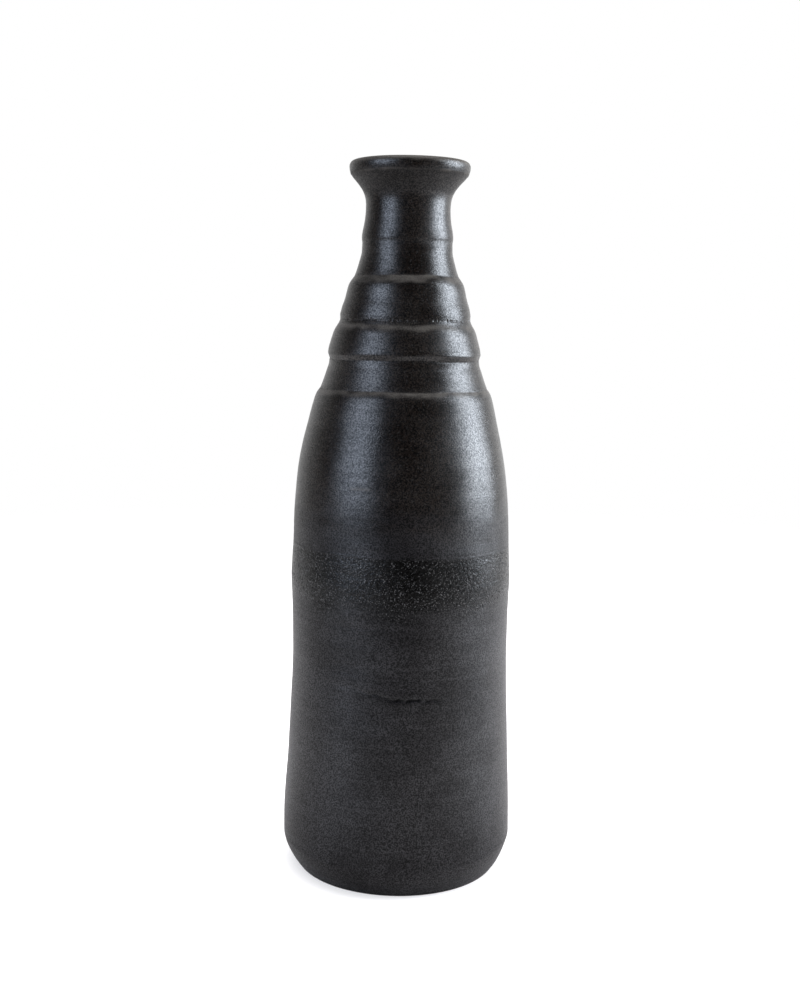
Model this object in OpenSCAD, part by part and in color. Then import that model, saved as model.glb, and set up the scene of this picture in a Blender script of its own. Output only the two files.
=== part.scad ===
// Black clay bottle, built in courses from the foot up: a pressed foot disc, thrown wall sections,
// stepped coil rings up the neck, and a flared lip. Each course is one solid of revolution about Z.
// Neighbouring courses share the same joint line, so they meet face to face all the way round.
// Millimetres, +Z up, origin at the centre of the face that the bottle stands on.

/* [Overall] */
// Height from the resting face to the rim
pot_h = 350; // [300:5:420]
// Thickness of the clay in the body wall
wall_t = 6.4; // [5:0.2:8]

/* [Body diameters] */
// Outer edge of the resting face
foot_d = 100.2; // [90:0.2:106]
// Widest point, just above the heel
heel_d = 115.2; // [111:0.2:125]
// Slight waist below the luting band
waist_d = 107.8; // [103:0.2:111]
// Crown of the luting band that ties the two thrown halves
band_d = 109; // [105:0.2:114]
// Straight part of the upper half
chest_d = 106.8; // [102:0.2:110]

/* [Neck diameters] */
// Foot of the lower ring, where the shoulder steps in
lower_ring_d = 81.4; // [78.4:0.2:85]
// Lower edge of the middle ring
middle_ring_d = 74.6; // [73:0.2:77]
// Lower edge of the upper ring
upper_ring_d = 63.8; // [61:0.2:66]
// Foot of the collar
collar_d = 50.2; // [47:0.2:53]
// Bead at the foot of the neck
bead_d = 44.4; // [43.6:0.2:46]
// Outside of the neck at its narrowest
neck_d = 41; // [39.8:0.2:42.6]
// Outside of the lip
lip_d = 58.6; // [53:0.2:64]

/* [Openings] */
// Straight bore through the neck
bore_d = 29.2; // [26:0.2:30]
// Mouth at the rim
mouth_d = 48.6; // [44:0.2:50]
// Thickness of the floor
floor_t = 9; // [7:0.5:12]
// Depth of the hollow under the foot
hollow_h = 1.5; // [0.5:0.1:2.5]

/* [Hidden] */
$fn = 128;

// Heights below are for a bottle of this height, and scale with pot_h
DESIGN_H = 350;
K = pot_h / DESIGN_H;

// Radii
foot_r = foot_d / 2;
heel_r = heel_d / 2;
waist_r = waist_d / 2;
band_r = band_d / 2;
chest_r = chest_d / 2;
lower_r = lower_ring_d / 2;
middle_r = middle_ring_d / 2;
upper_r = upper_ring_d / 2;
collar_r = collar_d / 2;
bead_r = bead_d / 2;
neck_r = neck_d / 2;
lip_r = lip_d / 2;
bore_r = bore_d / 2;
mouth_r = mouth_d / 2;

// Resting ring: its width, the slope from the ring up into the hollow, and the softened outer edge
rest_w = 13;
rest_slope_w = 5;
foot_edge = 0.7;
// Rounding where the floor turns up into the wall, and of the rim's outer and inner edges
floor_corner_r = 9;
rim_outer_r = min(2.8, 0.6 * (lip_r - mouth_r));
rim_inner_r = min(1.7, 0.38 * (lip_r - mouth_r));

// Joints between courses, from the foot up: height where the joint shows on the outer surface
JOINT_Z = K * [12, 97, 131.5, 165.5, 241, 255.4, 274, 295.2, 311.4, 334];
// and how much higher it comes out inside. The foot disc's edge is turned up behind the wall, the
// thrown walls meet level, and each coil's lower edge is lapped down behind the course below it.
JOINT_RISE = [floor_t + floor_corner_r - JOINT_Z[0], 0, 0, 0, -2.4, -2.4, -2.4, -2.4, -2.2, -1.6];
// Tongue on the top edge of a thrown wall: its height, and its corners as shares of the thickness
TONGUE_H = 2;
TONGUE = [0.32, 0.42, 0.58, 0.68];

// Curves are drawn with this many steps between two stations, and no step finer than this
SPAN_STEPS = 4;
FINEST_STEP = 0.8;

function mix(a, b, t) = a + (b - a) * t;
// Stations at the height of this bottle
function scaled(line) = [for (s = line) [s[0] * K, s[1]]];

// Outer outline as [height, radius] stations, course by course
foot_line = [[foot_edge, foot_r + foot_edge * 0.9], [3, mix(foot_r, heel_r, 0.31)],
             [6, mix(foot_r, heel_r, 0.55)], [9, mix(foot_r, heel_r, 0.74)],
             [12, mix(foot_r, heel_r, 0.9)]];
lower_line = [[12, mix(foot_r, heel_r, 0.9)], [15.6, heel_r], [26, heel_r - 0.1],
              [40, mix(heel_r, waist_r, 0.18)], [56, mix(heel_r, waist_r, 0.45)],
              [76, mix(heel_r, waist_r, 0.68)], [97, mix(heel_r, waist_r, 0.91)]];
middle_line = [[97, mix(heel_r, waist_r, 0.91)], [110, waist_r], [122, waist_r + 0.02],
               [131.5, mix(waist_r, band_r, 0.2)]];
band_line = [[131.5, mix(waist_r, band_r, 0.2)], [139, mix(waist_r, band_r, 0.55)], [148, band_r],
             [156, mix(band_r, chest_r, 0.22)], [165.5, mix(band_r, chest_r, 0.65)]];
shoulder_line = [[165.5, mix(band_r, chest_r, 0.65)], [170, chest_r + 0.22], [178, chest_r],
                 [188, mix(chest_r, lower_r, 0.048)], [202, mix(chest_r, lower_r, 0.172)],
                 [214, mix(chest_r, lower_r, 0.34)], [224, mix(chest_r, lower_r, 0.53)],
                 [234, mix(chest_r, lower_r, 0.72)], [237.2, mix(chest_r, lower_r, 0.795)],
                 [239, lower_r + 1.76], [240, lower_r + 1.1], [241, lower_r + 0.4]];
lower_ring_line = [[241, lower_r + 0.4], [242.4, lower_r - 0.22], [246, mix(lower_r, middle_r, 0.44)],
                   [250, mix(lower_r, middle_r, 0.82)], [253, middle_r - 0.35], [255.4, middle_r - 0.6]];
middle_ring_line = [[255.4, middle_r - 0.6], [256.6, middle_r - 0.35], [258.6, middle_r],
                    [260.2, middle_r - 0.13], [263, mix(middle_r, upper_r, 0.16)],
                    [266, mix(middle_r, upper_r, 0.325)], [268.6, mix(middle_r, upper_r, 0.485)],
                    [270.4, mix(middle_r, upper_r, 0.655)], [271.8, mix(middle_r, upper_r, 0.82)],
                    [273, upper_r + 0.35], [274, upper_r]];
upper_ring_line = [[274, upper_r], [274.9, upper_r - 0.06], [277, upper_r - 0.16], [279, upper_r - 0.48],
                   [281, mix(upper_r, collar_r, 0.15)], [283, mix(upper_r, collar_r, 0.255)],
                   [286, mix(upper_r, collar_r, 0.375)], [289, mix(upper_r, collar_r, 0.475)],
                   [291, mix(upper_r, collar_r, 0.5625)], [292.8, mix(upper_r, collar_r, 0.705)],
                   [294.2, mix(upper_r, collar_r, 0.85)], [295.2, collar_r + 0.36]];
collar_line = [[295.2, collar_r + 0.36], [296.2, collar_r - 0.1], [298, mix(collar_r, bead_r, 0.25)],
               [301, mix(collar_r, bead_r, 0.55)], [304, mix(collar_r, bead_r, 0.83)],
               [307, bead_r - 0.12], [309.4, bead_r - 0.18], [311.4, bead_r - 0.3]];
neck_line = [[311.4, bead_r - 0.3], [312.4, bead_r - 0.06], [314, bead_r],
             [316.4, mix(bead_r, neck_r, 0.15)], [319, mix(bead_r, neck_r, 0.47)],
             [322, mix(bead_r, neck_r, 0.76)], [325, mix(bead_r, neck_r, 0.94)], [328, neck_r],
             [330.6, neck_r + 0.12], [332.4, neck_r + 0.44], [334, neck_r + 0.9]];
lip_line = [[334, neck_r + 0.9], [336, mix(neck_r, lip_r, 0.21)], [338, mix(neck_r, lip_r, 0.373)],
            [340, mix(neck_r, lip_r, 0.5625)], [342, mix(neck_r, lip_r, 0.77)],
            [343.2, mix(neck_r, lip_r, 0.87)], [344.4, mix(neck_r, lip_r, 0.936)],
            [345.8, mix(neck_r, lip_r, 0.98)], [DESIGN_H - rim_outer_r / K, lip_r]];
OUTER = [for (line = [foot_line, lower_line, middle_line, band_line, shoulder_line, lower_ring_line,
                      middle_ring_line, upper_ring_line, collar_line, neck_line, lip_line])
         scaled(line)];

// Inner outline as [height, radius] stations, from the top of the floor's corner to the mouth
INNER = concat(
    [[floor_t + floor_corner_r, heel_r - 1.1 * wall_t]],
    scaled([[56, mix(heel_r, waist_r, 0.44) - 1.06 * wall_t], [118, waist_r - 0.98 * wall_t],
            [147, band_r - 1.05 * wall_t], [178, chest_r - 0.97 * wall_t],
            [202, mix(chest_r, lower_r, 0.155) - 0.97 * wall_t],
            [224, mix(chest_r, lower_r, 0.52) - 0.97 * wall_t], [241, lower_r - 0.85 * wall_t],
            [255.4, middle_r - 0.95 * wall_t], [264, mix(middle_r, upper_r, 0.35) - wall_t],
            [274, upper_r - 0.88 * wall_t], [284, mix(upper_r, collar_r, 0.35) - 0.98 * wall_t],
            [296, collar_r - 0.87 * wall_t], [304, mix(collar_r - 0.87 * wall_t, bore_r, 0.6)],
            [309, mix(collar_r - 0.87 * wall_t, bore_r, 0.9)], [312.4, bore_r], [330, bore_r],
            [334, mix(bore_r, mouth_r, 0.05)], [338, mix(bore_r, mouth_r, 0.28)],
            [342, mix(bore_r, mouth_r, 0.6)], [346, mix(bore_r, mouth_r, 0.88)],
            [DESIGN_H - rim_inner_r / K, mouth_r]]));

// Slope of the outline between stations i and i + 1, and at station i. The slope at a station is
// the weighted harmonic mean of its neighbours, which never lets the curve overshoot a station.
function chord(line, i) = (line[i + 1][1] - line[i][1]) / (line[i + 1][0] - line[i][0]);
function run(line, i) = line[i + 1][0] - line[i][0];
function slope(line, i) =
    i == 0 ? chord(line, 0) :
    i == len(line) - 1 ? chord(line, i - 1) :
    chord(line, i - 1) * chord(line, i) <= 0 ? 0 :
    let (a = 2 * run(line, i) + run(line, i - 1), b = run(line, i) + 2 * run(line, i - 1))
    (a + b) / (a / chord(line, i - 1) + b / chord(line, i));

// Radius of the outline at height z, which lies between stations i and i + 1
function cubic(line, i, z) =
    let (h = run(line, i), t = (z - line[i][0]) / h)
    line[i][1] * (1 + 2 * t) * pow(1 - t, 2) + line[i + 1][1] * t * t * (3 - 2 * t)
    + h * slope(line, i) * t * pow(1 - t, 2) - h * slope(line, i + 1) * t * t * (1 - t);
function station_below(line, z) =
    max(0, min(len(line) - 2, len([for (s = line) if (s[0] <= z) 1]) - 1));
function radius_at(line, z) = cubic(line, station_below(line, z), z);

// Points [radius, height] along the outline from height z0 up to z1. A straight stretch is one step.
function steps(line, i, a, b) =
    line[i][1] == line[i + 1][1] ? 1 : min(SPAN_STEPS, ceil((b - a) / FINEST_STEP));
function curve(line, z0, z1) = concat(
    [for (i = [0 : len(line) - 2])
        let (a = max(z0, line[i][0]), b = min(z1, line[i + 1][0]))
        if (b > a) let (n = steps(line, i, a, b))
            for (j = [0 : n - 1]) let (z = mix(a, b, j / n)) [cubic(line, i, z), z]],
    [[radius_at(line, z1), z1]]);
function reversed(points) = [for (i = [len(points) - 1 : -1 : 0]) points[i]];
// Arc of radius r about a centre, from angle a0 to a1
function arc(centre, r, a0, a1, n = 6) =
    [for (i = [0 : n]) let (a = mix(a0, a1, i / n)) centre + r * [cos(a), sin(a)]];

// Where joint j comes out inside, and its tongue's corners from the outside in
function inner_z(j) = JOINT_Z[j] + JOINT_RISE[j];
function tongue(j) =
    let (z = JOINT_Z[j], r = radius_at(OUTER[j], z), t = r - radius_at(INNER, z))
    JOINT_RISE[j] != 0 ? [] : [[r - TONGUE[0] * t, z], [r - TONGUE[1] * t, z + TONGUE_H],
                               [r - TONGUE[2] * t, z + TONGUE_H], [r - TONGUE[3] * t, z]];

// Half section of the foot disc: hollow, resting ring, heel, and the floor with its rounded corner
function foot_section() = concat(
    [[0, hollow_h], [foot_r - rest_w - rest_slope_w, hollow_h], [foot_r - rest_w, 0], [foot_r, 0]],
    curve(OUTER[0], OUTER[0][0][0], JOINT_Z[0]),
    arc([INNER[0][1] - floor_corner_r, floor_t + floor_corner_r], floor_corner_r, 0, -90),
    [[0, floor_t]]);
// Half section of the course between joints j - 1 and j
function course_section(j) = concat(
    curve(OUTER[j], JOINT_Z[j - 1], JOINT_Z[j]),
    tongue(j),
    reversed(curve(INNER, inner_z(j - 1), inner_z(j))),
    reversed(tongue(j - 1)));
// Half section of the lip, with both edges of its rim rounded
function lip_section() = concat(
    curve(OUTER[10], JOINT_Z[9], pot_h - rim_outer_r),
    arc([lip_r - rim_outer_r, pot_h - rim_outer_r], rim_outer_r, 0, 90),
    arc([mouth_r + rim_inner_r, pot_h - rim_inner_r], rim_inner_r, 90, 180),
    reversed(curve(INNER, inner_z(9), pot_h - rim_inner_r)));

module ring(section) {
    rotate_extrude() polygon(section);
}

module foot_disc() { color("#242427") ring(foot_section()); }
module lower_wall() { color("#2d2d31") ring(course_section(1)); }
module middle_wall() { color("#2d2d31") ring(course_section(2)); }
module luting_band() { color("#222224") ring(course_section(3)); }
module shoulder_wall() { color("#2b2b2e") ring(course_section(4)); }
module lower_ring() { color("#2f2f33") ring(course_section(5)); }
module middle_ring() { color("#2c2c2f") ring(course_section(6)); }
module upper_ring() { color("#2f2f33") ring(course_section(7)); }
module collar() { color("#29292b") ring(course_section(8)); }
module neck() { color("#2b2b2d") ring(course_section(9)); }
module lip() { color("#333336") ring(lip_section()); }

foot_disc();
lower_wall();
middle_wall();
luting_band();
shoulder_wall();
lower_ring();
middle_ring();
upper_ring();
collar();
neck();
lip();
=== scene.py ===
"""The looks of the black clay bottle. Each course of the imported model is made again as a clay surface,
with the seams, throwing lines, pits and wear that hands and a kiln leave, and lit in a plain studio."""

import math

import bpy
import numpy as np
from mathutils import Matrix, Vector


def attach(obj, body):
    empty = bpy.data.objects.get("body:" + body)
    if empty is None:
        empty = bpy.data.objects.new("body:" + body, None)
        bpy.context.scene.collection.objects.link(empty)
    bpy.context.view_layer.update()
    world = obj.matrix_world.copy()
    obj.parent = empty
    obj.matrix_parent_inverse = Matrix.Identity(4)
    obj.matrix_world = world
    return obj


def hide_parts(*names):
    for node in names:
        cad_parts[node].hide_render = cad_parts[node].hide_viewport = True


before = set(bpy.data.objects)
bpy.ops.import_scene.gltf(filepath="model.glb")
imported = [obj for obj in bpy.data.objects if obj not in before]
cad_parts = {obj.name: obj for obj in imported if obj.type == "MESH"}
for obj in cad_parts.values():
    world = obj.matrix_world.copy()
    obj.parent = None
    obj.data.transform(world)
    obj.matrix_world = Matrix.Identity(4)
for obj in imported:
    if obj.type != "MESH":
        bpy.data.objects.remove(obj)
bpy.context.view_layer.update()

MM = 1000.0

# Courses from the foot up: the record's slot, the gap between rows on the outer skin and on the inner
# one, in mm.
COURSES = {
    "foot_disc": {"slot": "matte_clay", "rows": 0.75, "inner_rows": 2.2},
    "lower_wall": {"slot": "matte_clay", "rows": 0.9, "inner_rows": 3.5},
    "middle_wall": {"slot": "matte_clay", "rows": 0.5, "inner_rows": 2.5},
    "luting_band": {"slot": "pitted_clay", "rows": 0.44, "inner_rows": 2.5},
    "shoulder_wall": {"slot": "burnished_clay", "rows": 0.85, "inner_rows": 3.5},
    "lower_ring": {"slot": "burnished_clay", "rows": 0.36, "inner_rows": 1.5},
    "middle_ring": {"slot": "burnished_clay", "rows": 0.36, "inner_rows": 1.5},
    "upper_ring": {"slot": "burnished_clay", "rows": 0.36, "inner_rows": 1.2},
    "collar": {"slot": "burnished_clay", "rows": 0.34, "inner_rows": 0.9},
    "neck": {"slot": "burnished_clay", "rows": 0.32, "inner_rows": 0.6},
    "lip": {"slot": "burnished_clay", "rows": 0.36, "inner_rows": 0.36},
}
NAMES = list(COURSES)
COLUMNS = 720
MARKS = ("worn", "crease", "pitted", "matted")

# The seam on top of each course but the last: how far it strays from level, and the depth and half
# width of its crease, in mm.
SEAMS = {
    "foot_disc": {"stray": 1.4, "depth": 0.07, "half_width": 1.0},
    "lower_wall": {"stray": 0.9, "depth": 0.46, "half_width": 0.75},
    "middle_wall": {"stray": 1.0, "depth": 0.03, "half_width": 1.2},
    "luting_band": {"stray": 0.9, "depth": 0.09, "half_width": 0.5},
    "shoulder_wall": {"stray": 0.5, "depth": 0.16, "half_width": 0.6},
    "lower_ring": {"stray": 0.8, "depth": 0.18, "half_width": 0.6},
    "middle_ring": {"stray": 0.6, "depth": 0.24, "half_width": 0.5},
    "upper_ring": {"stray": 0.5, "depth": 0.12, "half_width": 0.6},
    "collar": {"stray": 0.3, "depth": 0.10, "half_width": 1.5},
    "neck": {"stray": 0.3, "depth": 0.0, "half_width": 1.0},
}

# The pot isn't quite upright: [height, shift towards +X] of its own axis, in mm.
LEAN = [[0, 1.0], [26, 0.7], [60, 1.1], [100, 1.1], [140, 1.05], [190, 0.85], [208, 0.4], [230, 0.45],
        [242, 0.95], [262, 0.8], [282, 1.2], [305, 1.35], [334, 1.6], [343, 1.95], [350, 2.3]]

# Unevenness of the outer skin, broad first and the throwing lines last: its depth on the neck and on
# the body, the width and height of its cells, all in mm, and the offset in cells that sets it apart.
UNEVENNESS = [[0.077, 0.22, 42, 42, 0.0], [0.0315, 0.09, 17, 17, 3.3],
              [0.015, 0.035, 50.0, 2.6, 0.0], [0.008, 0.014, 22.0, 1.1, 6.1]]
# Heights between which the body's unevenness gives way to the neck's, and between which the wear on
# edges and the painted shade under the ledges set in, in mm.
BODY_TOP = [225, 245]
WORN_FROM = [225, 236]

# Depths and heights on the outer skin, in mm: the pits and the sinking of the rough band, the chips of
# the upper ring, the thumb ridge under the lip, the rolled lower edges of the rings, and the scratch.
PIT_DEPTH = 0.18
BAND_SINK = 0.04
CHIP_DEPTH = 0.3
LIP_RIDGE = 0.16
ROLL_HEIGHT = 0.2
SCRATCH_RIDGE = 0.06
# How far below the rim the thumb ridge runs, and the height of the scratch, in mm.
LIP_RIDGE_BELOW = 6.3
SCRATCH_AT = 196.5

# Inside: depth and spacing of the throwing rings, and the ridges pushed up at the joints, in mm.
THROWING_DEPTH = 0.3
THROWING_STEP = 7.5
JOINT_RIDGE = 0.6

# Shallow dents and swellings: bearing from the front towards +X (degrees), height, radius, depth (mm).
DENTS = [[-55, 60, 16, 0.25], [35, 48, 12, 0.18], [70, 112, 14, 0.3], [-80, 150, 12, -0.3],
         [-38, 208, 10, 0.12], [48, 192, 7, 0.14], [52, 178, 6, -0.12], [150, 90, 20, 0.35],
         [-140, 190, 15, 0.25], [120, 230, 9, 0.2]]


# ---------------------------------------------------------------------------------------------
# Noise
# ---------------------------------------------------------------------------------------------
SHUFFLE = np.random.default_rng(41).permutation(256).astype(np.int32)
GRADIENTS = np.random.default_rng(42).normal(size=(3, 256))
GRADIENTS = (GRADIENTS / np.linalg.norm(GRADIENTS, axis=0)).astype(np.float32)


def noise(points):
    """Smooth noise, about -1 to 1, at points given in cells of the noise."""
    points = np.asarray(points, np.float32)
    cells = np.floor(points)
    parts = [points[..., k] - cells[..., k] for k in range(3)]
    fades = [p * p * p * (p * (p * 6 - 15) + 10) for p in parts]
    cells = cells.astype(np.int32)

    def corner(column, dx, dy, dz):
        spot = SHUFFLE[(column + cells[..., 2] + dz) & 255]
        return (GRADIENTS[0][spot] * (parts[0] - dx) + GRADIENTS[1][spot] * (parts[1] - dy)
                + GRADIENTS[2][spot] * (parts[2] - dz))

    planes = []
    for dx in (0, 1):
        row = SHUFFLE[(cells[..., 0] + dx) & 255]
        edges = []
        for dy in (0, 1):
            column = SHUFFLE[(row + cells[..., 1] + dy) & 255]
            low, high = corner(column, dx, dy, 0), corner(column, dx, dy, 1)
            edges.append(low + fades[2] * (high - low))
        planes.append(edges[0] + fades[1] * (edges[1] - edges[0]))
    return 1.7 * (planes[0] + fades[0] * (planes[1] - planes[0]))


def smooth_step(value, low, high):
    """0 below low, 1 above high, and an even turn between."""
    t = np.clip((value - low) / (high - low), 0, 1)
    return t * t * (3 - 2 * t)


def bell(value, centre, half_width):
    """1 at the centre, falling away smoothly on both sides."""
    return np.exp(-(((value - centre) / half_width) ** 2))


# ---------------------------------------------------------------------------------------------
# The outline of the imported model
# ---------------------------------------------------------------------------------------------
SAME_PLACE = 0.005
known_points = []


def settle(radius, height):
    """The point already met at this place, so that neighbouring courses share their joint's points."""
    for point in known_points:
        if abs(point[0] - radius) + abs(point[1] - height) < SAME_PLACE:
            return point
    known_points.append((round(radius, 4), round(height, 4)))
    return known_points[-1]


def half_section(node):
    """The node's section as [radius, height] points in mm, in order: up the outer side and down the
    inner one. It is read where the CAD mesh crosses the +X half-plane. The foot's ends on the axis."""
    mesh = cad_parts[node].data
    points = np.zeros(3 * len(mesh.vertices), np.float32)
    mesh.vertices.foreach_get("co", points)
    points = points.reshape(-1, 3) * MM
    on_seam = (np.abs(points[:, 1]) < 1e-4) & (points[:, 0] > -1e-4)
    edges = np.zeros(2 * len(mesh.edges), np.int32)
    mesh.edges.foreach_get("vertices", edges)
    edges = edges.reshape(-1, 2)
    links = {}
    for pair in edges[on_seam[edges].all(1)]:
        a, b = (settle(float(points[v, 0]), float(points[v, 2])) for v in pair)
        if a != b:
            links.setdefault(a, set()).add(b)
            links.setdefault(b, set()).add(a)
    # a level face has no edge here: its two corners are joined now, or its one corner and the axis
    loose = sorted((p for p in links if len(links[p]) == 1), key=lambda p: (p[1], p[0]))
    while loose:
        a = loose.pop(0)
        b = loose.pop(0) if loose and loose[0][1] == a[1] else (0.0, a[1])
        links.setdefault(a, set()).add(b)
        links.setdefault(b, set()).add(a)
    ends = sorted((p for p in links if len(links[p]) == 1), key=lambda p: p[1])
    start = ends[0] if ends else min(links, key=lambda p: (p[1], p[0]))
    line, before = [start], None
    while True:
        onward = [p for p in links[line[-1]] if p != before and (p not in line or p == start)]
        onward = [p for p in onward if not (p == start and len(line) < 3)]
        if not onward or onward[0] == start:
            break
        before = line[-1]
        line.append(onward[0])
    area = sum(a[0] * b[1] - b[0] * a[1] for a, b in zip(line, line[1:] + line[:1]))
    return line if area > 0 else line[::-1]


def split_course(index, sections):
    """A course's section as its outer skin going up, the joint on top of it from the outside in, and
    its inner skin going down. The foot's skins start and end on the axis, and the lip has no inner one."""
    line = sections[index]
    if index:
        shared = [p for p in line if p in sections[index - 1]]
        start = line.index(max(shared))
        line = line[start:] + line[:start]
        line = line[:line.index(min(shared)) + 1]
    if index == len(sections) - 1:
        return line, [], []
    shared = [p for p in line if p in sections[index + 1]]
    outside, inside = line.index(max(shared)), line.index(min(shared))
    return line[:outside + 1], line[outside:inside + 1], line[inside:]


def gentle_slopes(values, steps):
    """Slopes for a curve through the values that never swings past them."""
    rates = np.diff(values) / steps
    inner = np.zeros(len(values) - 2)
    same = rates[:-1] * rates[1:] > 0
    before, after = rates[:-1][same], rates[1:][same]
    inner[same] = 2 * before * after / (before + after)
    return np.concatenate([[rates[0]], inner, [rates[-1]]])


class Outline:
    """The bottle's whole skin as one smooth line: from the axis under the foot, up the outside, over
    the rim, and down the inside to the axis above the floor. Places on it are given by distance."""

    STEP = 0.1

    def __init__(self, corners):
        corners = np.array(corners)
        lengths = np.hypot(*np.diff(corners, axis=0).T)
        self.marks = np.concatenate([[0], np.cumsum(lengths)])
        self.places = np.arange(0, self.marks[-1], self.STEP)
        span = np.clip(np.searchsorted(self.marks, self.places, "right") - 1, 0, len(lengths) - 1)
        size = lengths[span]
        t = (self.places - self.marks[span]) / size
        curves = []
        for axis in (0, 1):
            values = corners[:, axis]
            slopes = gentle_slopes(values, lengths)
            start, end = values[span], values[span + 1]
            curves.append(start * (1 + 2 * t) * (1 - t) ** 2 + end * t * t * (3 - 2 * t)
                          + size * (slopes[span] * t * (1 - t) ** 2 - slopes[span + 1] * t * t * (1 - t)))
        # the bead, the neck and the flare run on into each other without a break
        flare = smooth_step(curves[1], 0.868 * curves[1].max(), 0.885 * curves[1].max())
        curves = [c + flare * (self.soften(c, 1.6) - c) for c in curves]
        self.radius, self.height = curves
        along = [self.soften(np.gradient(c), 0.6) for c in curves]
        length = np.hypot(*along)
        self.normal = [along[1] / length, -along[0] / length]
        turn = np.gradient(np.unwrap(np.arctan2(along[1], along[0]))) / self.STEP
        self.bend = self.soften(turn, 0.8)

    def soften(self, values, width):
        """A running average over the width, in mm, each way."""
        count = int(width / self.STEP)
        kernel = np.hanning(2 * count + 3)[1:-1]
        padded = np.pad(values, count, mode="edge")
        return np.convolve(padded, kernel / kernel.sum(), mode="valid")

    def at(self, places):
        """Radius, height, the outward normal's two parts, and how convex the line is, at these places."""
        columns = [self.radius, self.height, self.normal[0], self.normal[1], self.bend]
        return [np.interp(places, self.places, column) for column in columns]


sections = [half_section(name) for name in NAMES]
parts = [split_course(i, sections) for i in range(len(NAMES))]
corners = list(parts[0][0])
for outer, joint, inner in parts[1:]:
    corners += outer[1:]
for outer, joint, inner in parts[-2::-1]:
    corners += inner[1:]
outline = Outline(corners)
place_of = {point: outline.marks[i] for i, point in enumerate(corners)}
RIM = outline.places[np.argmax(outline.height)]
SEAM_HEIGHT = {name: parts[i][1][0][1] for i, name in enumerate(NAMES[:-1])}
INNER_SEAM_HEIGHT = {name: parts[i][1][-1][1] for i, name in enumerate(NAMES[:-1])}
TOP = float(outline.height.max())


# ---------------------------------------------------------------------------------------------
# What hands and fire do to the surface
# ---------------------------------------------------------------------------------------------
def bearing_from_front(turn):
    """Degrees from the front (-Y) towards +X, from -180 to 180."""
    return (np.degrees(turn) + 90 + 180) % 360 - 180


def seam_stray(name, turn):
    """How far, in mm, the seam on top of this course rises above level at each turn."""
    seed = 11.3 * NAMES.index(name)
    circle = np.stack([1.6 * np.cos(turn), 1.6 * np.sin(turn), np.full_like(turn, seed)], -1)
    stray = SEAMS[name]["stray"] * noise(circle)
    if name == "lower_wall":
        # the join between the two lower sections climbs a finger's width on the left of the front
        stray = stray + 6.5 * bell(bearing_from_front(turn), -29, 17)
    return stray


def lift(turn, height):
    """Vertical shift of the whole wall, in mm, which carries each seam to where it strays."""
    names = list(SEAM_HEIGHT)
    levels = np.array([0.0] + [SEAM_HEIGHT[n] for n in names] + [TOP])
    flat = np.zeros_like(turn)
    strays = np.stack([flat] + [seam_stray(n, turn) for n in names] + [flat])
    span = np.clip(np.searchsorted(levels, height, "right") - 1, 0, len(levels) - 2)
    t = (height - levels[span]) / (levels[span + 1] - levels[span])
    column = np.arange(len(turn))[None, :]
    t = smooth_step(t, 0, 1)[:, None]
    return strays[span[:, None], column] * (1 - t) + strays[span[:, None] + 1, column] * t


def stretch(points, across, up):
    """Points in cells that are 'across' mm wide and 'up' mm high."""
    return points / np.array([across, across, up])


def crease_depth(points, bearing, height):
    """Depth of the seam creases, in mm. Only the rows near a seam are worked out."""
    depth = np.zeros(bearing.shape, np.float32)
    for name, seam in SEAMS.items():
        near = np.abs(height[:, 0] - SEAM_HEIGHT[name]) < 3 * seam["half_width"] + 1
        if not near.any():
            continue
        spots, gap = points[near], height[near] - SEAM_HEIGHT[name]
        broken = 0.6 + 0.5 * noise(stretch(spots, 9.0, 40.0) + 5.7) + 0.5 * noise(stretch(spots, 2.2, 30.0))
        if name == "lower_wall":
            # open and ragged at the middle of the front, and nearly rubbed out elsewhere
            ragged = noise(stretch(spots, 2.2, 3.0)) + 0.7 * noise(stretch(spots, 8.0, 30.0) + 6.4)
            broken = (0.02 + bell(bearing[near], 5, 21)) * (0.6 + 0.6 * ragged)
            gap = gap + 0.8 * noise(stretch(spots, 4.0, 60.0) + 3.1)
        depth[near] += seam["depth"] * np.clip(broken, 0.0, 1.4) * bell(gap, 0, seam["half_width"])
    return depth


def band_mask(points, height):
    """1 on the rough luting band, fading raggedly at its lower edge and quickly at its upper one."""
    low, high = SEAM_HEIGHT["middle_wall"], SEAM_HEIGHT["luting_band"]
    ragged = 6.0 * noise(stretch(points, 14.0, 9.0) + 8.2)
    top = 1 - smooth_step(height, high - 2.0, high)
    return smooth_step(height + ragged, low - 1, low + 14) * top * smooth_step(height, low, low + 5)


def matted(points, height, mask):
    """How far the finish has gone over to that of the matte clay below, 0 to 1."""
    high = SEAM_HEIGHT["luting_band"]
    ragged = 7.0 * noise(stretch(points, 22.0, 5.0) + 4.7) + 5.0 * noise(stretch(points, 6.0, 3.0) + 1.2)
    burnished = smooth_step(height + ragged, high, high + 34) * smooth_step(height, high, high + 4)
    return np.where(height < high, 1 - mask, 1 - burnished)


def pits(points, mask):
    """How pitted the clay is, 0 to 1, on the luting band where its skin was never rubbed down."""
    pitted = np.zeros(mask.shape, np.float32)
    some = mask.max(1) > 0
    if some.any():
        small = smooth_step(noise(points[some] / 0.62 + 2.2), 0.05, 0.6)
        large = smooth_step(noise(points[some] / 1.1 + 7.9), 0.25, 0.7)
        pitted[some] = np.clip(0.6 * small + 0.8 * large, 0, 1) * mask[some]
    return pitted


def nicks(points, height):
    """Chips along the lower edge of the upper ring, 0 to 1."""
    chipped = np.zeros(height.shape, np.float32)
    level = SEAM_HEIGHT["middle_ring"] + 0.3
    near = np.abs(height[:, 0] - level) < 2
    if near.any():
        bits = smooth_step(noise(stretch(points[near], 1.1, 4.0) + 1.4), 0.28, 0.6)
        chipped[near] = bits * bell(height[near], level, 0.55)
    return chipped


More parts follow.
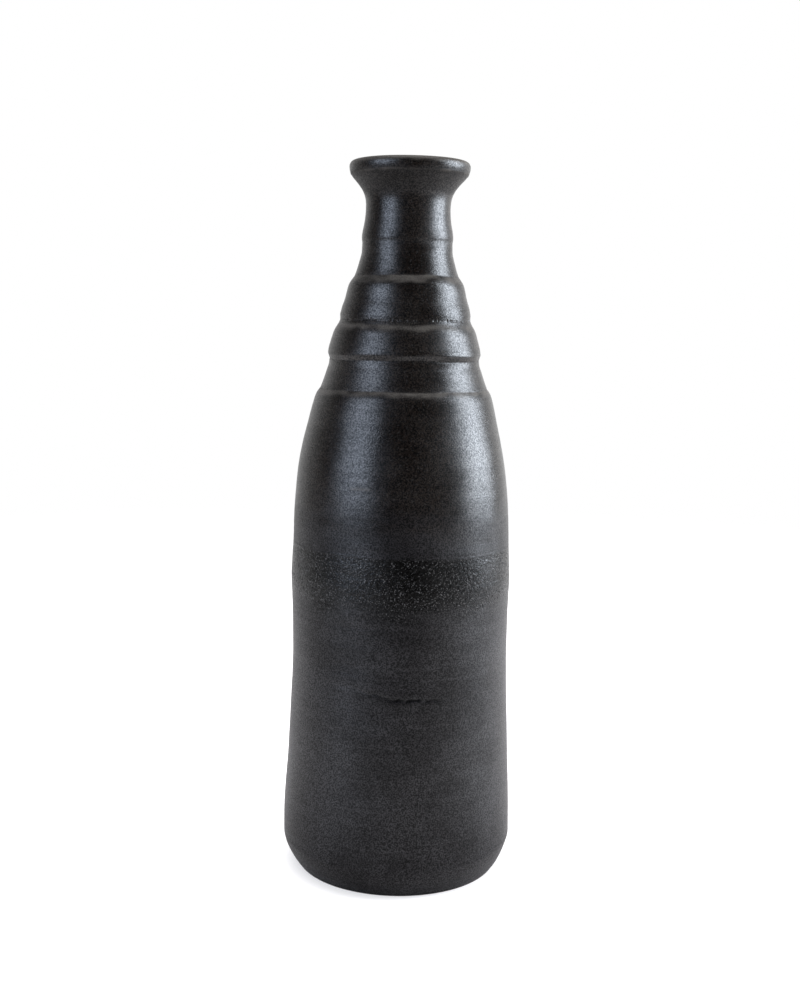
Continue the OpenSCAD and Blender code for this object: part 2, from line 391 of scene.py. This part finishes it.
def lip_ridge(points, height):
    """The low ridge that a thumb left where the flare meets the lip, in mm."""
    worn = 0.75 + 0.5 * noise(stretch(points, 8.0, 60.0) + 1.9)
    return LIP_RIDGE * worn * bell(height[:, None], TOP - LIP_RIDGE_BELOW, 0.55)


def rolled_edges(points, height):
    """Soft rolls that a finger left along the lower edges of the rings, in mm."""
    strength = 0.7 + 0.8 * noise(stretch(points, 12.0, 60.0) + 6.6)
    rolls = sum(bell(height, SEAM_HEIGHT[name] + 2.6, 1.1) for name in ("lower_ring", "middle_ring"))
    return ROLL_HEIGHT * strength * rolls[:, None]


def scratch(bearing, level):
    """The light scratch at the left of the front, 0 to 1."""
    along = smooth_step(bearing, -29, -26) * (1 - smooth_step(bearing, -18, -13))
    return bell(level, SCRATCH_AT, 0.8) * along


def outer_relief(points, turn, height):
    """Height of the outer skin over the drawn one, in mm, with its crease depth, pits and matt finish."""
    bearing = bearing_from_front(turn)[None, :] + 0 * height[:, None]
    level = height[:, None] + 0 * bearing
    body = 1 - smooth_step(level, *BODY_TOP)
    relief = np.zeros_like(level)
    for on_neck, on_body, across, up, offset in UNEVENNESS:
        depth = on_neck + (on_body - on_neck) * body
        relief += depth * noise(stretch(points, across, up) + offset)
    for place, middle, size, depth in DENTS:
        rows = np.abs(height - middle) < 3 * size
        if rows.any():
            around = (bearing[rows] - place + 180) % 360 - 180
            arc = np.radians(around) * np.hypot(points[rows, :, 0], points[rows, :, 1])
            relief[rows] -= depth * np.exp(-(arc ** 2 + (level[rows] - middle) ** 2) / size ** 2)
    crease = crease_depth(points, bearing, level[:, :1])
    rough = band_mask(points, level)
    pitted = pits(points, rough)
    relief -= crease + PIT_DEPTH * pitted + CHIP_DEPTH * nicks(points, level)
    relief -= BAND_SINK * rough
    relief += lip_ridge(points, height) + rolled_edges(points, height)
    relief += SCRATCH_RIDGE * scratch(bearing, level)
    resting = smooth_step(level, 0.6, 5)
    return relief * (0.15 + 0.85 * resting), crease, pitted, matted(points, level, rough)


def inner_relief(points, turn, height):
    """Height of the inner skin over the drawn one, in mm: throwing rings, and ridges at the joints."""
    level = height[:, None] + 0 * turn[None, :]
    belly = 1 - smooth_step(level, 280, 300)
    spiral = np.sin(2 * math.pi * level / THROWING_STEP + turn[None, :] + 1.5 * noise(points / 30))
    relief = belly * (THROWING_DEPTH * spiral + 0.25 * noise(points / 12 + 4.4)) + 0.06 * noise(points / 5)
    ragged = 0.7 + 0.6 * noise(stretch(points, 7.0, 40.0) + 9.9)
    for middle in INNER_SEAM_HEIGHT.values():
        relief += belly * JOINT_RIDGE * ragged * bell(level, middle, 2.2)
    return relief


def lean(height):
    """Shift of the pot's own axis towards +X at this height, in mm."""
    levels, shifts = np.array(LEAN).T
    shift = np.interp(height, levels, shifts)
    for step in (4, 8):
        shift = 0.5 * shift + 0.25 * (np.interp(height - step, levels, shifts)
                                      + np.interp(height + step, levels, shifts))
    return shift


# ---------------------------------------------------------------------------------------------
# Meshes
# ---------------------------------------------------------------------------------------------
def wear_and_painted_shade(flat, turn, height, up, bend):
    """How worn the skin is at its edges, and how much painted shade goes under its ledges, both 0 to 1."""
    level = height[:, None] + 0 * turn[None, :]
    patchy = 0.75 + 0.7 * noise(stretch(flat, 6.0, 3.0) + 2.9)
    edges = 1.2 * smooth_step(bend, 0.10, 0.5)[:, None] * smooth_step(level, *WORN_FROM)
    ledges = smooth_step(up, 0.30, 0.62)[:, None] * smooth_step(level, 233, 237)
    lip_edge = bell(level, TOP - LIP_RIDGE_BELOW, 0.7)
    bearing = bearing_from_front(turn)[None, :]
    worn = (0.9 * edges + 0.9 * ledges + 0.9 * lip_edge) * patchy + 0.9 * scratch(bearing, level)
    # painted shade under the ledges, where the skin faces down
    painted_under_shade = smooth_step(-up, 0.12, 0.5)[:, None] * smooth_step(level, *WORN_FROM)
    return np.clip(worn, 0, 1), painted_under_shade


def skin(places, turn):
    """Rows of points on the skin at these places of the outline, and how far each was moved. Rows run
    along the places and columns round the pot. Also the marks that the materials read."""
    radius, height, across, up, bend = outline.at(places)
    flat = np.stack([radius[:, None] * np.cos(turn), radius[:, None] * np.sin(turn),
                     height[:, None] + 0 * turn], -1)
    out = np.stack([across[:, None] * np.cos(turn), across[:, None] * np.sin(turn),
                    up[:, None] + 0 * turn], -1)
    outside = 1 - smooth_step(places, RIM - 0.5, RIM + 2.5)[:, None]
    relief = np.zeros(flat.shape[:2])
    crease, pitted, matt = (relief.copy() for _ in range(3))
    out_rows, in_rows = outside[:, 0] > 0, outside[:, 0] < 1
    if out_rows.any():
        found = outer_relief(flat[out_rows], turn, height[out_rows])
        relief[out_rows], crease[out_rows], pitted[out_rows], matt[out_rows] = (
            f * outside[out_rows] for f in found)
    if in_rows.any():
        relief[in_rows] += inner_relief(flat[in_rows], turn, height[in_rows]) * (1 - outside[in_rows])
    moved = flat + out * relief[..., None]
    moved[..., 2] += lift(turn, height) * smooth_step(height, 0, 6)[:, None]
    moved[..., 0] += lean(height)[:, None]
    worn, painted_under_shade = (f * outside for f in wear_and_painted_shade(flat, turn, height, up, bend))
    # the crease mark also carries the painted shade: dark in the creases and under the ledges
    crease = np.clip(crease / 0.33 + 0.6 * painted_under_shade, 0, 1)
    return moved, moved - flat, {"worn": worn, "crease": crease, "pitted": pitted, "matted": matt}


def skin_normals(places, moved, turn):
    """Outward normals of rows of points. Next to a seam they are worked out from places a fixed step
    to both sides of it, so that the courses on both sides shade alike there."""
    step = 0.3
    ends = [places[0] - step, places[0] + step, places[-1] - step, places[-1] + step]
    order = np.argsort(np.clip(ends, 0, outline.places[-1]))
    beside, _, _ = skin(np.clip(ends, 0, outline.places[-1])[order], turn)
    beside = beside[np.argsort(order)]
    onward = np.empty_like(moved)
    onward[1:-1] = moved[2:] - moved[:-2]
    onward[0], onward[-1] = beside[1] - beside[0], beside[3] - beside[2]
    across = np.roll(moved, -1, axis=1) - np.roll(moved, 1, axis=1)
    normals = np.cross(across, onward)
    return normals / np.maximum(np.linalg.norm(normals, axis=2, keepdims=True), 1e-9)


def course_rows(index):
    """A course's closed section as rows of points round the pot: outer skin, top joint, inner skin and
    bottom joint, with their normals and marks. A row's flag is True where the face above it is part of
    a joint."""
    settings = COURSES[NAMES[index]]
    outer, joint, inner = parts[index]
    turn = np.arange(COLUMNS) * 2 * math.pi / COLUMNS
    rows, normals, hidden, marks = [], [], [], []

    def add_skin(line, gap):
        start, end = place_of[line[0]], place_of[line[-1]]
        count = max(3, round(abs(end - start) / gap) + 1)
        even = np.linspace(0, 1, count)
        # rows lie closer together next to the seams
        places = start + (end - start) * (even - 0.07 * np.sin(2 * math.pi * even))
        moved, shift, seen = skin(places, turn)
        rows.append(moved)
        normals.append(skin_normals(places, moved, turn))
        hidden.extend([False] * (count - 1) + [True])
        marks.append(seen)
        return shift[0], shift[-1]

    def add_joint(line, shift_first, shift_last):
        lengths = np.hypot(*np.diff(np.array(line), axis=0).T)
        share = np.cumsum(lengths)[:-1] / lengths.sum()
        for (radius, height), t in zip(line[1:-1], share):
            flat = np.stack([radius * np.cos(turn), radius * np.sin(turn), height + 0 * turn], -1)
            rows.append((flat + shift_first * (1 - t) + shift_last * t)[None])
            hidden.append(True)
        count = len(line) - 2
        normals.append(np.zeros((count, COLUMNS, 3)))
        marks.append({key: np.zeros((count, COLUMNS)) for key in MARKS})

    first, last = add_skin(outer, settings["rows"])
    if joint:
        _, inner_shift, _ = skin(np.array([place_of[inner[0]]]), turn)
        add_joint(joint, last, inner_shift[0])
        _, last = add_skin(inner, settings["inner_rows"])
    if index:
        bottom = parts[index - 1][1][::-1]
        add_joint(bottom, last, first)
    marks = {key: np.concatenate([m[key] for m in marks]) for key in MARKS}
    return np.concatenate(rows), np.concatenate(normals), hidden, marks


def wall_faces(count, closed):
    """Corners of the four-sided faces between rows of points. A closed section goes round to its start."""
    row = np.arange(count if closed else count - 1)[:, None]
    column = np.arange(COLUMNS)[None, :]
    above, beside = (row + 1) % count, (column + 1) % COLUMNS
    return np.stack([row * COLUMNS + column, row * COLUMNS + beside,
                     above * COLUMNS + beside, above * COLUMNS + column], -1).reshape(-1, 4)


def pole_faces(count):
    """Corners of the two fans of triangles that join the first and last row to the points on the axis."""
    column = np.arange(COLUMNS)
    beside = (column + 1) % COLUMNS
    low, high, last = count * COLUMNS, count * COLUMNS + 1, (count - 1) * COLUMNS
    return np.concatenate([np.stack([np.full(COLUMNS, low), beside, column], -1),
                           np.stack([np.full(COLUMNS, high), last + column, last + beside], -1)])


def closed_mesh(name, vertices, quads, fans, flat):
    """A mesh of these faces, shaded smooth but for the flat ones."""
    mesh = bpy.data.meshes.new(name)
    mesh.vertices.add(len(vertices))
    mesh.vertices.foreach_set("co", (vertices / MM).ravel())
    mesh.loops.add(quads.size + fans.size)
    mesh.loops.foreach_set("vertex_index", np.concatenate([quads.ravel(), fans.ravel()]))
    starts = np.concatenate([4 * np.arange(len(quads)), quads.size + 3 * np.arange(len(fans))])
    mesh.polygons.add(len(starts))
    mesh.polygons.foreach_set("loop_start", starts)
    mesh.polygons.foreach_set("use_smooth", np.concatenate([~flat, np.ones(len(fans), bool)]))
    mesh.update(calc_edges=True)
    return mesh


def set_normals(mesh, vertices, normals, quads, fans, flat):
    """Shades each corner by its point's normal, and the flat faces by their own."""
    shading = normals[np.concatenate([quads.ravel(), fans.ravel()])]
    faces = np.cross(vertices[quads[:, 2]] - vertices[quads[:, 0]],
                     vertices[quads[:, 3]] - vertices[quads[:, 1]])
    faces = faces / np.maximum(np.linalg.norm(faces, axis=1, keepdims=True), 1e-9)
    shading[:quads.size][np.repeat(flat, 4)] = np.repeat(faces[flat], 4, axis=0)
    layer = mesh.attributes.new("custom_normal", "FLOAT_VECTOR", "CORNER")
    layer.data.foreach_set("vector", shading.astype(np.float32).ravel())


def build_course(index):
    """One course of the bottle as a closed mesh."""
    name = NAMES[index] + "_clay"
    rows, normals, hidden, marks = course_rows(index)
    on_axis = index == 0
    fans, poles, pole_normals = np.zeros((0, 3), int), np.zeros((0, 3)), np.zeros((0, 3))
    if on_axis:
        # the first and last rows lie on the axis: each becomes one point with a fan of triangles
        poles = np.stack([rows[0].mean(0), rows[-1].mean(0)])
        pole_normals = np.array([[0, 0, -1], [0, 0, 1]])
        rows, normals, hidden = rows[1:-1], normals[1:-1], hidden[1:-1]
        marks = {key: m[1:-1] for key, m in marks.items()}
        fans = pole_faces(len(rows))
    quads = wall_faces(len(rows), closed=not on_axis)
    flat = np.repeat(np.array(hidden[:len(quads) // COLUMNS]), COLUMNS)
    vertices = np.vstack([rows.reshape(-1, 3), poles])
    normals = np.vstack([normals.reshape(-1, 3), pole_normals])
    mesh = closed_mesh(name, vertices, quads, fans, flat)
    set_normals(mesh, vertices, normals, quads, fans, flat)
    for key, values in marks.items():
        layer = mesh.attributes.new(key, "FLOAT", "POINT")
        layer.data.foreach_set("value", np.concatenate([values.ravel(), np.zeros(len(poles))]))
    piece = bpy.data.objects.new(name, mesh)
    bpy.context.scene.collection.objects.link(piece)
    return piece


# ---------------------------------------------------------------------------------------------
# Materials
# ---------------------------------------------------------------------------------------------
def node(tree, kind, inputs=None, **settings):
    """A new shader node with its settings, and its inputs set or linked."""
    new = tree.nodes.new(kind)
    for key, value in settings.items():
        setattr(new, key, value)
    for socket, value in (inputs or {}).items():
        if isinstance(value, bpy.types.NodeSocket):
            tree.links.new(value, new.inputs[socket])
        else:
            new.inputs[socket].default_value = value
    return new


def mix_colour(tree, factor, first, second):
    """A colour between the first and the second."""
    return node(tree, "ShaderNodeMix", {0: factor, 6: first, 7: second}, data_type="RGBA").outputs[2]


def spread(tree, value, low, high, to_low=0.0, to_high=1.0):
    """Carries low..high over to to_low..to_high, without going past them."""
    inputs = {0: value, 1: low, 2: high, 3: to_low, 4: to_high}
    return node(tree, "ShaderNodeMapRange", inputs, interpolation_type="SMOOTHSTEP").outputs[0]


def maths(tree, operation, first, second):
    """One sum or product."""
    return node(tree, "ShaderNodeMath", {0: first, 1: second}, operation=operation).outputs[0]


def grain(tree, place, scale, detail=2.0, rough=0.5, stretched=None):
    """Noise with this many cells to the metre, or with a scale of its own along each axis."""
    if stretched:
        place = node(tree, "ShaderNodeMapping", {0: place, 3: stretched}).outputs[0]
    inputs = {0: place, "Scale": scale, "Detail": detail, "Roughness": rough}
    return node(tree, "ShaderNodeTexNoise", inputs).outputs[0]


def mark(tree, name):
    """One of the marks stored on the mesh."""
    return node(tree, "ShaderNodeAttribute", attribute_name=name).outputs["Fac"]


# Colours of the painted glints (pale specks), of worn edges, and of the painted shade in creases, pits and
# under the ledges.
PAINTED_GLINT_COLOUR = (0.088, 0.084, 0.081, 1)
WORN_COLOUR = (0.070, 0.060, 0.050, 1)
PAINTED_SHADE_COLOUR = (0.001, 0.001, 0.001, 1)
# Cells to the metre of the clay's clouds, light and dark specks, painted glints and surface grain. The
# streaks and the fine lines have a scale of their own along each axis.
CLOUDS = 38.0
SPECKS = 1550.0
PAINTED_GLINT_SCALE = 1500.0
GRAIN = 1700.0
STREAKS = (16.0, 16.0, 420.0)
LINES = (40.0, 40.0, 900.0)

# How the clay is finished: its darkest and lightest colour, roughness, depth of its grain in mm, how
# much it shines, and the share of painted glints, pale specks in its colour.
MATTE = {"dark": (0.0028, 0.0023, 0.0026, 1), "light": (0.0060, 0.0053, 0.0059, 1), "rough": 0.40,
         "grain": 0.050, "shine": 0.44, "painted_glints": 0.10}
PITTED = {"dark": (0.0002, 0.0002, 0.0002, 1), "light": (0.0006, 0.0006, 0.0005, 1), "rough": 0.26,
          "grain": 0.13, "shine": 0.32, "painted_glints": 1.0}
BURNISHED = {"dark": (0.0034, 0.0022, 0.0016, 1), "light": (0.0074, 0.0054, 0.0042, 1), "rough": 0.31,
             "grain": 0.070, "shine": 0.46, "painted_glints": 0.25}


def blend(tree, seen, finish, key):
    """A value of this finish, going over to that of the matte one where the mesh is marked as matted."""
    return spread(tree, seen["matt"], 0.0, 1.0, finish[key], MATTE[key])


def clay_patterns(tree, place):
    """The marks of the mesh and the patterns that colour, roughness and shine share, by name."""
    worn, crease, pitted, matt = (mark(tree, m) for m in MARKS)
    clouds = grain(tree, place, CLOUDS, 4.0, 0.6)
    streaks = grain(tree, place, 1.0, 3.0, 0.55, stretched=STREAKS)
    tone = maths(tree, "ADD", maths(tree, "MULTIPLY", clouds, 0.72), maths(tree, "MULTIPLY", streaks, 0.28))
    tone = spread(tree, tone, 0.36, 0.64)
    specks = grain(tree, place, SPECKS, 1.0, 0.6)
    # painted shade: the creases, the undersides of the ledges, and the pits
    painted_shade = maths(tree, "MAXIMUM", crease, maths(tree, "MULTIPLY", pitted, 0.8))
    return {"worn": worn, "matt": matt, "clouds": clouds, "tone": tone, "specks": specks, "painted_shade": painted_shade}


def clay_colour(tree, place, seen, finish):
    """Cloudy, streaky and speckled black, with worn edges, pale specks painted as glints, and painted shade
    in creases, pits and under the ledges.
    """
    dark = mix_colour(tree, seen["matt"], finish["dark"], MATTE["dark"])
    light = mix_colour(tree, seen["matt"], finish["light"], MATTE["light"])
    shade = mix_colour(tree, seen["tone"], dark, light)
    speckled = spread(tree, seen["specks"], 0.38, 0.66, 0.0, 2.8)
    shade = node(tree, "ShaderNodeVectorMath", {0: shade, 3: speckled}, operation="SCALE").outputs[0]
    # painted glints: sparse pale specks in the colour that stand in for glints of light
    painted_glints = grain(tree, place, PAINTED_GLINT_SCALE, 1.0, 0.5)
    pale = maths(tree, "MULTIPLY", spread(tree, painted_glints, 0.60, 0.69), blend(tree, seen, finish, "painted_glints"))
    shade = mix_colour(tree, pale, shade, PAINTED_GLINT_COLOUR)
    shade = mix_colour(tree, spread(tree, seen["worn"], 0.1, 1.0, 0.0, 0.75), shade, WORN_COLOUR)
    # painted shade, darkening the creases, the pits and the undersides of the ledges
    return mix_colour(tree, spread(tree, seen["painted_shade"], 0.2, 1.0, 0.0, 0.8), shade, PAINTED_SHADE_COLOUR)


def clay_roughness(tree, seen, finish):
    """Uneven like the colour, and rougher where the clay is worn, creased or pitted."""
    gloss = blend(tree, seen, finish, "rough")
    gloss = maths(tree, "ADD", gloss, spread(tree, seen["clouds"], 0.3, 0.7, -0.03, 0.04))
    gloss = maths(tree, "ADD", gloss, maths(tree, "MULTIPLY", seen["worn"], 0.12))
    gloss = maths(tree, "ADD", gloss, spread(tree, seen["specks"], 0.30, 0.70, 0.04, -0.04))
    return maths(tree, "ADD", gloss, maths(tree, "MULTIPLY", seen["painted_shade"], 0.2))


def clay_shine(tree, place, seen, finish):
    """Specular level: speckled, dulled with the painted shade in creases, pits and under the ledges, and
    weaker towards the foot.
    """
    shine = blend(tree, seen, finish, "shine")
    shine = maths(tree, "MULTIPLY", shine, spread(tree, seen["specks"], 0.30, 0.70, 0.56, 1.44))
    shine = maths(tree, "MULTIPLY", shine, spread(tree, seen["tone"], 0.0, 1.0, 0.85, 1.15))
    shine = maths(tree, "MULTIPLY", shine, spread(tree, seen["painted_shade"], 0.1, 1.0, 1.0, 0.25))
    up = node(tree, "ShaderNodeSeparateXYZ", {0: place}).outputs[2]
    return maths(tree, "MULTIPLY", shine, spread(tree, up, 0.0, 0.06, 0.5, 1.0))


def clay_grain(tree, place, seen, finish):
    """The fine grain and the fine level lines that break up the shine."""
    surface = grain(tree, place, GRAIN, 2.0, 0.6)
    lines = grain(tree, place, 1.0, 2.0, 0.5, stretched=LINES)
    surface = maths(tree, "ADD", surface, maths(tree, "MULTIPLY", lines, 0.15))
    depth = maths(tree, "MULTIPLY", blend(tree, seen, finish, "grain"), 1 / MM)
    inputs = {"Strength": 1.0, "Distance": depth, "Height": surface}
    return node(tree, "ShaderNodeBump", inputs).outputs[0]


def clay(name, finish):
    """Black clay fired in smoke, in this finish, which goes over to the matte one where the mesh is
    marked as matted."""
    material = bpy.data.materials.new(name)
    material.use_nodes = True
    tree = material.node_tree
    sockets = tree.nodes["Principled BSDF"].inputs
    sockets["IOR"].default_value = 1.42
    sockets["Specular IOR Level"].default_value = finish["shine"]
    place = node(tree, "ShaderNodeTexCoord").outputs["Object"]
    seen = clay_patterns(tree, place)
    tree.links.new(clay_colour(tree, place, seen, finish), sockets["Base Color"])
    tree.links.new(clay_roughness(tree, seen, finish), sockets["Roughness"])
    tree.links.new(clay_shine(tree, place, seen, finish), sockets["Specular IOR Level"])
    tree.links.new(clay_grain(tree, place, seen, finish), sockets["Normal"])
    return material


# ---------------------------------------------------------------------------------------------
# Pieces
# ---------------------------------------------------------------------------------------------
MATERIALS = {
    "matte_clay": clay("matte_clay", MATTE),
    "pitted_clay": clay("pitted_clay", PITTED),
    "burnished_clay": clay("burnished_clay", BURNISHED),
}

for index, name in enumerate(NAMES):
    piece = build_course(index)
    slot = COURSES[name]["slot"]
    piece.data.materials.append(MATERIALS[slot])
    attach(piece, "root")
    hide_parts(name)


# ---------------------------------------------------------------------------------------------
# Studio
# ---------------------------------------------------------------------------------------------
def softbox(name, bearing, distance, low, high, width, power, colour):
    """An upright lit panel that faces the pot, at a bearing from the front towards +X (degrees)."""
    light = bpy.data.lights.new(name, "AREA")
    light.shape = "RECTANGLE"
    light.size = width
    light.size_y = high - low
    light.energy = power
    light.color = colour
    lamp = bpy.data.objects.new(name, light)
    a = math.radians(bearing)
    lamp.location = (distance * math.sin(a), -distance * math.cos(a), (low + high) / 2)
    lamp.rotation_euler = (math.radians(90), 0, a)
    lamp.visible_camera = False
    bpy.context.scene.collection.objects.link(lamp)


def overhead_softbox(name, height, side, power, colour):
    """A level lit panel above the pot, facing down."""
    light = bpy.data.lights.new(name, "AREA")
    light.size = side
    light.energy = power
    light.color = colour
    lamp = bpy.data.objects.new(name, light)
    lamp.location = (0, 0.1, height)
    lamp.visible_camera = False
    bpy.context.scene.collection.objects.link(lamp)


def studio_world():
    """White to the camera. In reflections it is bright and white behind the pot, and dim and warm on the
    camera's side."""
    world = bpy.data.worlds.new("studio")
    world.use_nodes = True
    tree = world.node_tree
    tree.nodes.clear()
    way = node(tree, "ShaderNodeTexCoord").outputs["Generated"]
    axes = node(tree, "ShaderNodeSeparateXYZ", {0: way}).outputs
    behind = spread(tree, axes[1], -0.1, 0.85, 0.03, 0.78)
    right = spread(tree, axes[0], -0.4, 0.6, 1.1, 1.75)
    low = spread(tree, axes[2], 0.15, 0.75, 1.0, 0.25)
    level = maths(tree, "MULTIPLY", maths(tree, "MULTIPLY", behind, right), low)
    tint = mix_colour(tree, spread(tree, axes[1], -0.3, 0.5), (1.0, 0.84, 0.70, 1), (1.0, 1.0, 1.0, 1))
    lit = node(tree, "ShaderNodeBackground", {"Color": tint, "Strength": level})
    seen = node(tree, "ShaderNodeBackground", {"Color": (1.0, 1.0, 1.0, 1), "Strength": 1.0})
    ray = node(tree, "ShaderNodeLightPath").outputs["Is Camera Ray"]
    both = node(tree, "ShaderNodeMixShader", {0: ray, 1: lit.outputs[0], 2: seen.outputs[0]})
    node(tree, "ShaderNodeOutputWorld", {0: both.outputs[0]})
    bpy.context.scene.world = world


def studio_floor():
    """A round pale floor that fades out into the background and is see-through in front of the camera. It
    glows with painted light: less near the pot, a painted contact shadow, more towards +X, and more again
    to the camera.
    """
    radius = 1.3
    bpy.ops.mesh.primitive_circle_add(vertices=128, radius=radius, fill_type="NGON", location=(0, 0, 0))
    floor = bpy.context.object
    floor.name = "studio_floor"
    material = bpy.data.materials.new("pale_floor")
    material.use_nodes = True
    tree = material.node_tree
    shader = tree.nodes["Principled BSDF"]
    shader.inputs["Base Color"].default_value = (0.46, 0.42, 0.41, 1)
    shader.inputs["Roughness"].default_value = 0.7
    shader.inputs["Specular IOR Level"].default_value = 0.2
    shader.inputs["Emission Color"].default_value = (1, 1, 1, 1)
    shut_in = node(tree, "ShaderNodeAmbientOcclusion", {"Distance": 0.35}, samples=8).outputs["AO"]
    place = node(tree, "ShaderNodeTexCoord").outputs["Object"]
    right = node(tree, "ShaderNodeSeparateXYZ", {0: place}).outputs[0]
    # painted light: the floor's glow, dimmed near the pot as a painted contact shadow and stronger towards
    # +X
    painted_glow = spread(tree, shut_in, 0.0, 1.0, 0.0, 0.65)
    painted_glow = maths(tree, "MULTIPLY", painted_glow, spread(tree, right, -0.1, 0.6, 1.0, 1.3))
    # painted brightness that only the camera sees
    to_camera = maths(tree, "MULTIPLY", node(tree, "ShaderNodeLightPath").outputs["Is Camera Ray"], 0.45)
    tree.links.new(maths(tree, "ADD", painted_glow, to_camera), shader.inputs["Emission Strength"])
    away = node(tree, "ShaderNodeVectorMath", {0: place}, operation="LENGTH").outputs["Value"]
    apart = node(tree, "ShaderNodeVectorMath", {0: place, 1: (0.03, -0.95, 0)}, operation="DISTANCE")
    edge = spread(tree, away, 0.45 * radius, 0.98 * radius, 1.0, 0.0)
    front = spread(tree, apart.outputs["Value"], 0.33, 0.72, 0.0, 1.0)
    tree.links.new(maths(tree, "MULTIPLY", edge, front), shader.inputs["Alpha"])
    floor.data.materials.append(material)


def camera(focal_length, place, looks_down, rolled):
    """The camera: its lens in mm, its place in metres, and how it's turned, in degrees."""
    lens = bpy.data.cameras.new("camera")
    lens.lens = focal_length
    eye = bpy.data.objects.new("camera", lens)
    tilt = Matrix.Rotation(math.radians(90 - looks_down), 4, "X")
    roll = Matrix.Rotation(math.radians(rolled), 4, "Z")
    eye.matrix_world = Matrix.Translation(Vector(place)) @ tilt @ roll
    bpy.context.scene.collection.objects.link(eye)
    bpy.context.scene.camera = eye


studio_world()
studio_floor()
softbox("right_softbox", bearing=92.5, distance=1.0, low=0.165, high=1.10, width=0.64, power=34,
        colour=(0.83, 0.905, 1.0))
softbox("left_softbox", bearing=-51.5, distance=1.0, low=0.165, high=1.05, width=0.57, power=12,
        colour=(0.71, 0.815, 1.0))
overhead_softbox("top_softbox", height=1.5, side=1.0, power=8, colour=(1.0, 0.97, 0.94))
# a little above the shoulder, looking slightly down
camera(focal_length=47.27, place=(0, -0.649, 0.2755), looks_down=7.915, rolled=1.0)
bpy.context.scene.view_settings.view_transform = "Standard"
